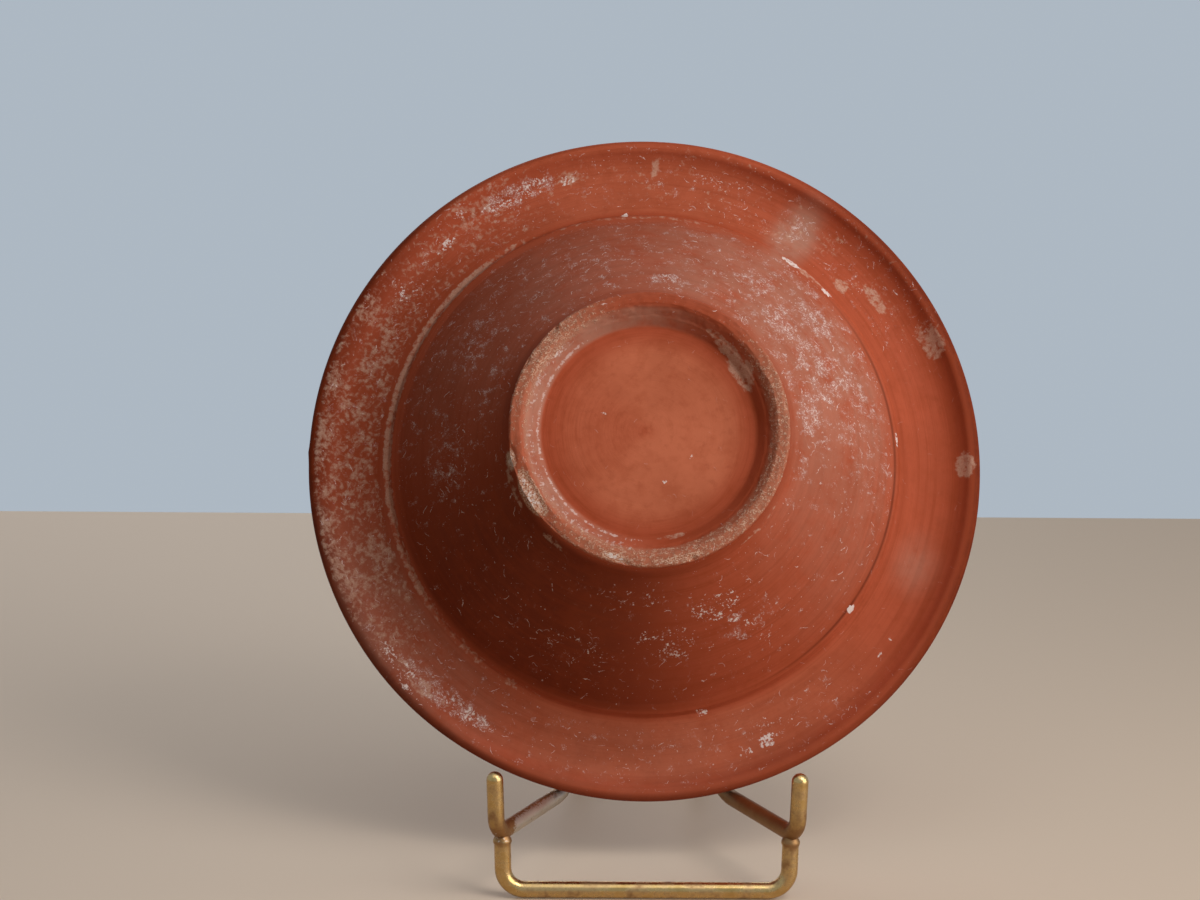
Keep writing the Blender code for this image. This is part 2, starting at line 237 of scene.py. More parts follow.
MARK_SPOTS = (
    # Clusters on the wall's right
    (304, 58, 11, 8, 0.49), (312, 70, 14, 3, 0.47), (318, 52, 14, 9, 0.50),
    (322, 63, 14, 8, 0.52), (337, 54, 20, 12, 0.49), (343, 63, 12, 7, 0.48),
    (352, 46, 12, 6, 0.52), (12, 44, 6, 3, 0.50),
    # Clusters on the rest of the wall
    (60, 58, 22, 8, 0.42), (175, 58, 26, 13, 0.44), (200, 46, 16, 5, 0.45),
    (212, 58, 24, 11, 0.45), (255, 56, 16, 6, 0.44), (277, 46, 12, 4.6, 0.49),
    # Clusters on the flange
    (130, 91, 30, 7, 0.48), (245, 92, 26, 6, 0.48), (302.5, 84, 6.5, 14, 0.46),
)

# Chips in the foot ring's edge, as spots with a depth in millimetres in place of a strength
CHIPS = (
    (150, 38.2, 13, 4.2, 0.6), (167, 39, 5.5, 2.4, 0.7), (135, 39.2, 13, 2, 0.5),
    (226, 38.6, 2.2, 1.9, 0.8), (72, 38.6, 1.8, 1.8, 0.8), (101, 38.7, 3.5, 1.9, 0.7),
    (208, 38.7, 3, 1.2, 0.5), (350, 38.7, 4, 1.3, 0.6), (20, 38.7, 2.6, 1.3, 0.6),
)


# Noise on numpy arrays

def lattice_noise(points, seed):
    """Smooth noise from 0 to 1 at each point, about one lump to a unit."""
    cell = np.floor(points)
    share = points - cell
    share = share * share * (3.0 - 2.0 * share)
    total = np.zeros(len(points))
    for corner in np.ndindex(2, 2, 2):
        spot = cell + corner
        mixed = spot @ np.array([127.1, 311.7, 74.7]) + 19.19 * seed
        value = np.modf(np.abs(np.sin(mixed) * 43758.5453))[0]
        total += value * np.prod(np.where(np.array(corner) == 1, share, 1.0 - share), axis=1)
    return total


def layered_noise(points, seed, layers):
    """Noise from 0 to 1 with finer layers, each half as strong as the one before."""
    total = sum(lattice_noise(points * 2 ** i, seed + i) / 2 ** i for i in range(layers))
    return total / sum(0.5 ** i for i in range(layers))


def smooth_step(low, high, values):
    """0 below low, 1 above high and a smooth rise between them."""
    share = np.clip((values - low) / (high - low), 0.0, 1.0)
    return share * share * (3.0 - 2.0 * share)


def smooth_fall(low, high, values):
    """1 below low, 0 above high and a smooth fall between them."""
    return smooth_step(-high, -low, -values)


# The bowl's section, as (radius, height) pairs

def arc(centre, radius, start, end, step):
    """Points along a circle in the section. Angles run from +radius towards +height."""
    steps = max(3, round(abs(end - start) * radius / step))
    angles = np.linspace(start, end, steps + 1)
    return [(centre[0] + radius * math.cos(a), centre[1] + radius * math.sin(a)) for a in angles]


def run(start, end, step):
    """Points along a straight line in the section, both ends included."""
    steps = max(1, round(math.dist(start, end) / step))
    return [tuple(point) for point in np.linspace(start, end, steps + 1)]


def softened(corners, bends, step):
    """Points along a polyline in the section, with its corners rounded."""
    flat = [Vector((radius, height, 0.0)) for radius, height in corners]
    path = rounded_path(flat, bends, 5)
    points = []
    for before, after in zip(path, path[1:]):
        points += run((before.x, before.y), (after.x, after.y), step)[:-1]
    return points + [(path[-1].x, path[-1].y)]


def foot_section():
    """From the recessed floor's centre over the foot ring to the foot of the wall."""
    face_inner = FOOT_RADIUS - FOOT_FACE_WIDTH
    floor = run((0.0, RECESS_DEPTH), (RECESS_RADIUS - 6 * FOOT_EDGE, RECESS_DEPTH), OUTER_STEP)
    corners = [
        floor[-1],
        (RECESS_RADIUS - FOOT_EDGE / 2, RECESS_DEPTH),
        (LEDGE_RADIUS - FOOT_EDGE, LEDGE_DEPTH + FOOT_EDGE / 4),
        (LEDGE_RADIUS, LEDGE_DEPTH - FOOT_EDGE / 2),
        (face_inner - FOOT_EDGE / 2, FOOT_EDGE),
        (face_inner + FOOT_EDGE, 0.0),
        (FOOT_RADIUS - FOOT_EDGE, 0.0),
        (FOOT_RADIUS, FOOT_EDGE),
        (FOOT_RADIUS - FOOT_EDGE / 2, FOOT_HEIGHT - 1.4 * FOOT_EDGE),
        (FOOT_RADIUS + 2 * FOOT_EDGE, FOOT_HEIGHT + 1.4 * FOOT_EDGE),
    ]
    bends = [3.0 * FOOT_EDGE] + [1.6 * FOOT_EDGE] * (len(corners) - 3)
    return floor[:-1] + softened(corners, bends, OUTER_STEP / 2)


def wall_curve():
    """Centre and radius of the wall's slight outward curve, and its angles at foot and ridge."""
    foot = Vector((FOOT_RADIUS, FOOT_HEIGHT))
    ridge = Vector((RIDGE_RADIUS - RIDGE_WIDTH / 2, RIDGE_HEIGHT))
    chord = ridge - foot
    radius = (chord.length ** 2 / 4 + WALL_BULGE ** 2) / (2 * WALL_BULGE)
    inward = Vector((-chord.y, chord.x)).normalized()
    centre = (foot + ridge) / 2 + inward * (radius - WALL_BULGE)
    angles = [math.atan2(point.y - centre.y, point.x - centre.x) for point in (foot, ridge)]
    return centre, radius, angles[0], angles[1]


def flange_section():
    """From the ridge along the flange's underside and round the lip, then back along its top."""
    up = math.pi / 2
    step = (RIDGE_RADIUS + RIDGE_WIDTH / 2, RIDGE_HEIGHT + RIDGE_WIDTH / 2)
    crown = (RIM_RADIUS - CROWN_INSET, step[1] + CROWN_RISE)
    reach = crown[0] - step[0]
    rise_radius = (reach ** 2 + CROWN_RISE ** 2) / (2 * CROWN_RISE)
    rise_angle = math.asin(reach / rise_radius)
    lip_reach = (CROWN_INSET - RIM_THICKNESS / 2) / math.sin(DROOP_ANGLE)
    droop_radius = lip_reach - RIM_THICKNESS / 2
    droop_end = up - DROOP_ANGLE
    lip = (RIM_RADIUS - RIM_THICKNESS / 2, crown[1] - droop_radius + lip_reach * math.cos(DROOP_ANGLE))
    rise_centre = (crown[0], crown[1] - rise_radius)
    droop_centre = (crown[0], crown[1] - droop_radius)
    under = arc(rise_centre, rise_radius, up + rise_angle, up, OUTER_STEP)
    under += arc(droop_centre, droop_radius, up, droop_end, OUTER_STEP)[1:]
    under += arc(lip, RIM_THICKNESS / 2, droop_end + math.pi, droop_end + math.tau, OUTER_STEP / 2)[1:]
    top = arc(droop_centre, droop_radius + RIM_THICKNESS, droop_end, up, INNER_STEP)[1:]
    top += arc(rise_centre, rise_radius + RIM_THICKNESS, up, up + rise_angle, INNER_STEP)[1:]
    return under, top


def inside_section():
    """Down the inside of the wall, round the fillet and across the floor."""
    centre, radius, _, ridge_angle = wall_curve()
    floor_height = RECESS_DEPTH + BASE_THICKNESS
    inner_radius = radius - WALL_THICKNESS
    fillet_height = floor_height + INSIDE_FILLET
    reach = inner_radius - INSIDE_FILLET
    fillet = (centre.x + math.sqrt(reach ** 2 - (fillet_height - centre.y) ** 2), fillet_height)
    tangent_angle = math.atan2(fillet[1] - centre.y, fillet[0] - centre.x)
    points = arc(centre, inner_radius, ridge_angle, tangent_angle, INNER_STEP)
    points += arc(fillet, INSIDE_FILLET, tangent_angle, -math.pi / 2, INNER_STEP)[1:]
    return points + run(points[-1], (0.0, floor_height), INNER_STEP)[1:]


def bowl_section():
    """The whole section, and how many of its points lie on the outer side."""
    centre, radius, foot_angle, ridge_angle = wall_curve()
    foot = foot_section()
    wall = [point for point in arc(centre, radius, foot_angle, ridge_angle, OUTER_STEP)
            if foot[-1][0] + OUTER_STEP / 2 < point[0] < RIDGE_RADIUS - 1.3 * RIDGE_WIDTH]
    under, top = flange_section()
    start = under[0]
    under = [point for point in under if point[0] > RIDGE_RADIUS + 1.4 * RIDGE_WIDTH]
    shoulder = (RIDGE_RADIUS - 0.1 * RIDGE_WIDTH, RIDGE_HEIGHT - RIDGE_PROUD)
    groove = (start[0] - RIDGE_PROUD / 4, start[1] + RIDGE_PROUD)
    ridge = softened([wall[-1], shoulder, groove, under[0]], [1.6 * MM, 0.9 * MM], OUTER_STEP / 2)
    outer = foot + wall[:-1] + ridge + under[1:]
    return np.array(outer + top + inside_section()), len(outer)


# Marks on the bowl's surface

class Surface:
    """The bowl's vertices in its own polar frame, with soft masks over them."""

    def __init__(self, section, outer_count):
        """Spreads the section round the axis, without the two points on the axis."""
        tangent = np.gradient(section, axis=0)
        tangent /= np.linalg.norm(tangent, axis=1)[:, None]
        normal = np.column_stack([tangent[:, 1], -tangent[:, 0]])
        rings, sides = len(section) - 2, BOWL_SIDES
        self.shape = (rings, sides)
        self.angle = np.tile(np.arange(sides) * 360.0 / sides, rings)
        self.radius = np.repeat(section[1:-1, 0], sides)
        self.height = np.repeat(section[1:-1, 1], sides)
        self.normal = np.repeat(normal[1:-1], sides, axis=0)
        self.outer = np.repeat(np.arange(1, len(section) - 1) < outer_count, sides).astype(float)
        turn = np.radians(self.angle)
        self.across = np.column_stack([np.cos(turn), np.sin(turn)])

    def points(self):
        """Places in the bowl's own frame."""
        return np.column_stack([self.across * self.radius[:, None], self.height])

    def noise(self, lump, seed, layers=3):
        """Layered noise over the surface, with lumps of the given size."""
        return layered_noise(self.points() / lump + 57.0, seed, layers)

    def patch(self, angle, radius, along, across):
        """A soft spot on the outer side: 1 in its middle, 0 past its half length and half width."""
        turn = (self.angle - angle + 180.0) % 360.0 - 180.0
        reach = np.hypot(np.radians(turn) * self.radius / along, (self.radius - radius) / across)
        return self.outer * smooth_step(0.0, 1.0, 1.0 - reach)

    def band(self, inner, outer, soft):
        """A soft ring on the outer side between two radii."""
        return (self.outer * smooth_step(inner - soft, inner + soft, self.radius)
                * smooth_fall(outer - soft, outer + soft, self.radius))

    def sector(self, start, end, soft):
        """A soft slice of the bowl from one angle clockwise to another."""
        half = ((end - start) % 360.0) / 2
        turn = np.abs((self.angle - start - half + 180.0) % 360.0 - 180.0)
        return smooth_fall(half - soft, half + soft, turn)


def wheel_marks(surface):
    """Ripples left by turning, and the slow unevenness of a thrown form."""
    radial = surface.radius / (1.3 * MM)
    around = surface.across * 1.2 + surface.height[:, None] / 0.01
    ripples = layered_noise(np.column_stack([radial, around]) + 91.0, 3, 2) - 0.5
    uneven = surface.noise(45.0 * MM, 5, 1) - 0.5
    ring = np.exp(-((surface.radius - FLOOR_RING_RADIUS) / (0.5 * MM)) ** 2)
    ring *= smooth_step(RECESS_DEPTH - 1.5 * MM, RECESS_DEPTH - 0.5 * MM, surface.height)
    ring *= surface.height < RECESS_DEPTH + 2.5 * MM
    return 0.06 * MM * ripples + 0.25 * MM * uneven - 0.07 * MM * ring


def ring_wear(surface):
    """The rough wear of the foot ring, as a shift along the surface's normal."""
    grain = surface.noise(0.8 * MM, 11, 2)
    ring = surface.band(RECESS_RADIUS, FOOT_RADIUS + 0.5 * MM, 0.4 * MM)
    ring *= smooth_fall(2.0 * MM, 4.5 * MM, surface.height)
    return -0.42 * MM * ring * (grain - 0.4)


def chipped(surface, height):
    """The height of the outer side where chips have cut the foot ring's edge down."""
    rough = 0.65 + 0.7 * surface.noise(1.1 * MM, 41, 3)
    for angle, radius, along, across, depth in CHIPS:
        patch = surface.patch(angle, radius * MM, along * MM, across * MM)
        cut = depth * MM * np.minimum(1.0, 2.2 * patch) * rough
        height = np.where(patch > 0.0, np.maximum(height, cut), height)
    return height


def spotted(surface, total, spots):
    """A mask with spots laid over it."""
    for angle, radius, along, across, strength in spots:
        patch = surface.patch(angle, radius * MM, along * MM, across * MM)
        total = np.maximum(total, strength * smooth_step(0.0, 0.6, patch))
    return np.clip(total, 0.0, 1.0)


def crust_mask(surface):
    """How closely the soft tan crust lies: mottled on the flange's left, along the ridge, in spots."""
    flange = surface.band(RIDGE_RADIUS + 3.2 * MM, RIM_RADIUS - 1.2 * MM, 1.5 * MM)
    left = surface.sector(132.0, 228.0, 26.0)
    top = surface.sector(228.0, 345.0, 14.0)
    ridge = surface.band(RIDGE_RADIUS - 0.4 * MM, RIDGE_RADIUS + 2.8 * MM, 0.9 * MM)
    ridge *= 0.60 * surface.sector(160.0, 246.0, 20.0) + 0.42 * surface.sector(110.0, 160.0, 15.0)
    edge = surface.band(RIDGE_RADIUS - 1.5 * MM, RIDGE_RADIUS + 0.5 * MM, 0.6 * MM)
    ridge += 0.42 * edge * surface.sector(250.0, 300.0, 10.0)
    total = np.maximum((0.445 * left + 0.30 * top) * flange, ridge)
    return spotted(surface, total, CRUST_SPOTS)


def chalk_mask(surface):
    """How closely small bright white flecks lie."""
    return spotted(surface, np.zeros_like(surface.radius), CHALK_SPOTS)


def worn_mask(surface):
    """Where the slip has rubbed through to the paler clay, on the foot ring and the rim."""
    face = surface.band(RECESS_RADIUS + 0.5 * MM, FOOT_RADIUS + 0.2 * MM, 0.5 * MM)
    face *= smooth_fall(1.4 * MM, 4.2 * MM, surface.height)
    low = surface.sector(50.0, 130.0, 25.0)
    right = surface.sector(320.0, 50.0, 25.0)
    left = surface.sector(195.0, 245.0, 25.0)
    top = surface.sector(245.0, 320.0, 20.0)
    rim = surface.band(RIM_RADIUS - 1.5 * MM, RIM_RADIUS + 1.0 * MM, 0.8 * MM)
    total = face * (0.39 + 0.09 * low + 0.08 * right + 0.13 * left - 0.08 * top) + 0.26 * rim
    return spotted(surface, total, WORN_SPOTS)


def rubbed_and_highlight_mask(surface):
    """How closely pale lines lie along the turning on the foot ring's inner slope; from its bottom round
    its left they also paint a highlight where the slope faces the light.
    """
    around = surface.sector(85.0, 245.0, 25.0)
    slope = surface.band(RECESS_RADIUS + 1.4 * MM, FOOT_RADIUS - 4.2 * MM, 0.8 * MM)
    brink = surface.band(RECESS_RADIUS, RECESS_RADIUS + 1.2 * MM, 0.4 * MM)
    return np.maximum(around * np.maximum(0.41 * slope, 0.50 * brink), 0.30 * slope)


def marks_mask(surface):
    """How closely the clusters of pale root marks lie."""
    wall = surface.band(FOOT_RADIUS + 1.3 * MM, RIDGE_RADIUS - 1.1 * MM, 1.5 * MM)
    right = surface.sector(292.0, 12.0, 20.0)
    top = surface.sector(232.0, 292.0, 18.0)
    left = surface.sector(165.0, 232.0, 20.0)
    flange = surface.band(RIDGE_RADIUS + 2.7 * MM, RIM_RADIUS - 1.5 * MM, 1.5 * MM)
    clean = surface.sector(345.0, 35.0, 15.0)
    inside = 1.0 - surface.outer
    floor = surface.band(0.0, RECESS_RADIUS - 1.2 * MM, 1.0 * MM)
    ring = surface.band(FOOT_RADIUS - 4.2 * MM, FOOT_RADIUS + 0.5 * MM, 0.6 * MM)
    total = wall * (0.345 + 0.08 * right + 0.05 * top + 0.05 * left) + flange * (0.37 - 0.30 * clean)
    total += 0.36 * inside + 0.10 * floor + 0.34 * ring
    return spotted(surface, total, MARK_SPOTS)


def film_and_highlight_mask(surface):
    """A thin pinkish grey film, with two brushed smears of it on the flange's right, and a painted
    highlight on the foot ring's inner slope where it faces the light.
    """
    wall = surface.band(FOOT_RADIUS + 1.3 * MM, RIDGE_RADIUS - 2.8 * MM, 4.5 * MM)
    right = 0.66 * surface.sector(285.0, 5.0, 24.0) + 0.32 * surface.sector(5.0, 42.0, 20.0)
    top = 0.32 * surface.sector(230.0, 290.0, 15.0)
    left = 0.20 * surface.sector(185.0, 230.0, 20.0)
    flange = surface.band(RIDGE_RADIUS + 2.7 * MM, RIM_RADIUS - 1.5 * MM, 4.0 * MM)
    low = 0.16 * surface.sector(60.0, 118.0, 25.0) + 0.46 * surface.sector(125.0, 165.0, 16.0)
    slope = surface.band(RECESS_RADIUS - 0.2 * MM, FOOT_RADIUS - 4.2 * MM, 0.6 * MM)
    smears = 1.6 * surface.patch(303.0, 84.0 * MM, 10.0 * MM, 17.0 * MM)
    smears += 0.55 * surface.patch(21.0, 86.0 * MM, 14.0 * MM, 10.0 * MM)
    total = wall * (0.02 + right + left + top) + flange * (0.03 + low) + smears
    # Painted highlight on the foot ring's inner slope, from its bottom left round to its top, where it
    # faces the light
    total += slope * surface.sector(110.0, 290.0, 30.0)
    return np.clip(total, 0.0, 1.0)


def tone_light_and_shade_mask(surface):
    """How dark the slip is, with 0.5 as its usual colour. It is painted shade on the wall's lower left and
    left, the flange's left, the lip where it turns from the light, the crease at the ridge on the right
    and the corner under the foot ring, and painted light in the middle of the recessed floor; it is also
    paler on the flange's bottom and top and darker on the rest of the wall and on the foot ring's face.
    """
    wall = surface.band(FOOT_RADIUS + 0.8 * MM, RIDGE_RADIUS - 0.3 * MM, 1.5 * MM)
    # Painted shade: the wall's lower left and left face away from the light
    low_left = surface.sector(85.0, 165.0, 25.0)
    left = surface.sector(150.0, 235.0, 25.0)
    flange = surface.band(RIDGE_RADIUS + 1.7 * MM, RIM_RADIUS, 1.0 * MM)
    # Painted shade on the flange's left, where the bowl's body shadows it; the flange is also made paler
    # at its bottom and top
    flange_left = surface.sector(135.0, 235.0, 30.0)
    flange_low = surface.sector(40.0, 125.0, 20.0)
    flange_top = surface.sector(235.0, 300.0, 25.0)
    # Painted light: the recessed floor paler in its middle, less so on its left, leaving its edge in
    # painted shade
    floor = surface.band(0.0, 25.5 * MM, 5.0 * MM)
    floor *= smooth_step(RECESS_DEPTH - 1.5 * MM, RECESS_DEPTH - 0.5 * MM, surface.height)
    floor *= 1.0 - 0.45 * surface.sector(130.0, 235.0, 40.0)
    # Painted shade in the corner under the foot ring
    corner = surface.band(FOOT_RADIUS - 0.2 * MM, FOOT_RADIUS + 1.8 * MM, 0.6 * MM)
    corner *= smooth_step(3.2 * MM, 4.5 * MM, surface.height)
    ring_face = surface.band(FOOT_RADIUS - FOOT_FACE_WIDTH, FOOT_RADIUS + 0.5 * MM, 0.6 * MM)
    ring_face *= surface.sector(170.0, 30.0, 40.0)
    # Painted shadow along the crease at the ridge on the right
    crease = surface.band(RIDGE_RADIUS - 1.5 * MM, RIDGE_RADIUS - 0.9 * MM, 0.5 * MM)
    crease *= surface.sector(325.0, 60.0, 25.0)
    # Painted shade on the lip where it turns away from the light, weaker at the top
    rim = surface.band(RIM_RADIUS - 5.0 * MM, RIM_RADIUS + 2.0 * MM, 3.5 * MM)
    rim += surface.band(RIM_RADIUS - 2.0 * MM, RIM_RADIUS + 2.0 * MM, 1.0 * MM)
    rim *= 1.0 - 0.7 * surface.sector(225.0, 300.0, 25.0)
    total = 0.5 + wall * (0.06 + 0.31 * low_left + 0.05 * left) - 0.45 * floor
    total += flange * (0.18 * flange_left - 0.22 * flange_low - 0.20 * flange_top)
    total += 0.12 * corner + 0.14 * ring_face + 0.45 * crease + 0.24 * rim
    return np.clip(total, 0.0, 1.0)


def make_bowl(place):
    """The bowl as one closed mesh, with its masks stored for the material."""
    section, outer_count = bowl_section()
    surface = Surface(section, outer_count)
    masks = {
        "crust": crust_mask(surface),
        "chalk": chalk_mask(surface),
        "worn": worn_mask(surface),
        "rubbed_and_highlight": rubbed_and_highlight_mask(surface),
        "marks": marks_mask(surface),
        "film_and_highlight": film_and_highlight_mask(surface),
        "tone_light_and_shade": tone_light_and_shade_mask(surface),
    }
    crusty = masks["crust"] * smooth_step(0.45, 0.7, surface.noise(2.2 * MM, 21))
    lump = surface.patch(RIM_LUMP_ANGLE, RIM_RADIUS, 3.0 * MM, 2.5 * MM)
    shift = wheel_marks(surface) + ring_wear(surface) + 0.12 * MM * crusty + 0.25 * MM * lump
    radius = surface.radius + surface.normal[:, 0] * shift
    height = chipped(surface, surface.height + surface.normal[:, 1] * shift)
    places = np.column_stack([surface.across * radius[:, None], height])

    rings, sides = surface.shape
    grid = np.arange(rings * sides).reshape(rings, sides)
    beside = np.roll(grid, -1, axis=1)
    quads = np.stack([grid[:-1], beside[:-1], beside[1:], grid[1:]], axis=-1).reshape(-1, 4)
    first, last = rings * sides, rings * sides + 1
    caps = [(first, b, a) for a, b in zip(grid[0], beside[0])]
    caps += [(last, a, b) for a, b in zip(grid[-1], beside[-1])]
    ends = np.array([(0.0, 0.0, section[0, 1]), (0.0, 0.0, section[-1, 1])])
    mesh = bpy.data.meshes.new("bowl_body")
    mesh.from_pydata(np.vstack([places, ends]).tolist(), [], quads.tolist() + caps)
    mesh.transform(place)
    mesh.shade_smooth()
    for name, values in masks.items():
        layer = mesh.attributes.new(name, "FLOAT", "POINT")
        layer.data.foreach_set("value", np.append(values, [values[0], values[-1]]))
    bowl = bpy.data.objects.new("bowl_body", mesh)
    bpy.context.scene.collection.objects.link(bowl)
    return bowl


# Wires

def rounded_path(corners, bends, steps):
    """The polyline through the corners, with each inner corner bent round its own radius."""
    path = [corners[0]]
    for before, corner, after, bend in zip(corners, corners[1:], corners[2:], bends):
        back = (before - corner).normalized()
        ahead = (after - corner).normalized()
        half_angle = back.angle(ahead) / 2
        room = min((before - corner).length, (after - corner).length) / 2
        setback = min(bend / math.tan(half_angle), 0.98 * room)
        centre = corner + (back + ahead).normalized() * setback / math.cos(half_angle)
        first = corner + back * setback - centre
        last = corner + ahead * setback - centre
        turn = first.angle(last)
        for i in range(steps + 1):
            share = i / steps
            swing = math.sin((1 - share) * turn) * first + math.sin(share * turn) * last
            path.append(centre + swing / math.sin(turn))
    path.append(corners[-1])
    return path


def mirrored(points):
    """The same points on the other side of the middle plane, in reverse."""
    return [Vector((-point.x, point.y, point.z)) for point in reversed(points)]


def evenly(path, step):
    """The path with points no further apart than the step."""
    points = [path[0]]
    for before, after in zip(path, path[1:]):
        count = max(1, math.ceil((after - before).length / step))
        points += [before.lerp(after, (i + 1) / count) for i in range(count)]
    return points


def domed(path):
    """The path as (place, radius scale) pairs, with both of its ends rounded over."""
    first = (path[1] - path[0]).normalized()
    last = (path[-2] - path[-1]).normalized()
    angles = [math.pi / 2 * (i + 0.5) / DOME_STEPS for i in range(DOME_STEPS)] + [math.pi / 2]
    dome = [(WIRE_RADIUS * (1.0 - math.cos(angle)), math.sin(angle)) for angle in angles]
    clear = WIRE_RADIUS * 1.05
    inner = [point for point in path
             if (point - path[0]).length > clear and (point - path[-1]).length > clear]
    starts = [(path[0] + first * inset, scale) for inset, scale in dome]
    ends = [(path[-1] + last * inset, scale) for inset, scale in reversed(dome)]
    return starts + [(point, 1.0) for point in inner] + ends


def collared(path):
    """The path as (place, radius scale) pairs, swelling at both ends where it is brazed on."""
    pairs = []
    for point in path:
        reach = min((point - path[0]).length, (point - path[-1]).length) / WIRE_RADIUS
        swell = 0.16 * math.exp(-((reach - 1.15) / 0.24) ** 2)
        taper = min(1.0, 0.55 + 0.6 * reach)
        pairs.append((point, taper + swell))
    return pairs


def wire_object(name, pairs):
    """A closed round wire along (place, radius scale) pairs."""
    curve = bpy.data.curves.new(name, "CURVE")
    curve.dimensions = "3D"
    curve.bevel_depth = WIRE_RADIUS
    curve.bevel_resolution = WIRE_SIDES // 2 - 2
    curve.use_fill_caps = True
    spline = curve.splines.new("POLY")
    spline.points.add(len(pairs) - 1)
    for item, (point, scale) in zip(spline.points, pairs):
        item.co = (*point, 1.0)
        item.radius = scale
    holder = bpy.data.objects.new(name, curve)
    bpy.context.scene.collection.objects.link(holder)
    solid = holder.evaluated_get(bpy.context.evaluated_depsgraph_get())
    mesh = bpy.data.meshes.new_from_object(solid)
    bpy.data.objects.remove(holder, do_unlink=True)
    mesh.shade_smooth()
    wire = bpy.data.objects.new(name, mesh)
    bpy.context.scene.collection.objects.link(wire)
    return wire


def easel_corners():
    """The right-hand corners of the three wires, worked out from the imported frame's boxes."""
    low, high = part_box("stand_frame")
    front = low.y + WIRE_RADIUS * math.cos(math.pi / PART_WIRE_SIDES)
    loop_height = high.z - WIRE_RADIUS
    loop_y = high.y - WIRE_RADIUS
    crook_y = loop_y - (loop_height - ARM_HEIGHT) * math.tan(UPRIGHT_LEAN)
    crook_x = HOOK_HALF_WIDTH - (crook_y - front) * math.tan(ARM_TOE_IN)
    leg_x = HOOK_HALF_WIDTH - FRONT_LEG_SETBACK * math.tan(ARM_TOE_IN)
    leg_y = front + FRONT_LEG_SETBACK
    hook = Vector((HOOK_HALF_WIDTH, front, ARM_HEIGHT))
    crook = Vector((crook_x, crook_y, ARM_HEIGHT))
    corner = Vector((LOOP_HALF_WIDTH, loop_y, loop_height))
    joint = crook.lerp(corner, (REAR_JOINT_HEIGHT - crook.z) / (corner.z - crook.z))
    return {
        "easel_frame": [hook + Vector((PRONG_SPLAY, 0.0, PRONG_RISE)), hook, crook, corner],
        "easel_front_foot": [Vector((leg_x, leg_y, ARM_HEIGHT)),
                             Vector((FRONT_FOOT_HALF_WIDTH, leg_y, WIRE_RADIUS))],
        "easel_rear_leg": [joint, Vector((REAR_FOOT_HALF_WIDTH, front + REAR_FOOT_DISTANCE, WIRE_RADIUS))],
    }


def make_easel():
    """The three brazed wires, smooth and round."""
    corners = easel_corners()
    right = corners["easel_frame"]
    bends = [HOOK_BEND, CROOK_BEND, LOOP_BEND]
    path = rounded_path(right + mirrored(right), bends + bends[::-1], BEND_STEPS)
    wires = [wire_object("easel_frame", domed(evenly(path, WIRE_STEP)))]
    for name in ("easel_front_foot", "easel_rear_leg"):
        right = corners[name]
        path = rounded_path(right + mirrored(right), [FOOT_BEND, FOOT_BEND], BEND_STEPS)
        wires.append(wire_object(name, collared(evenly(path, WIRE_STEP / 2))))
    return wires


# Materials

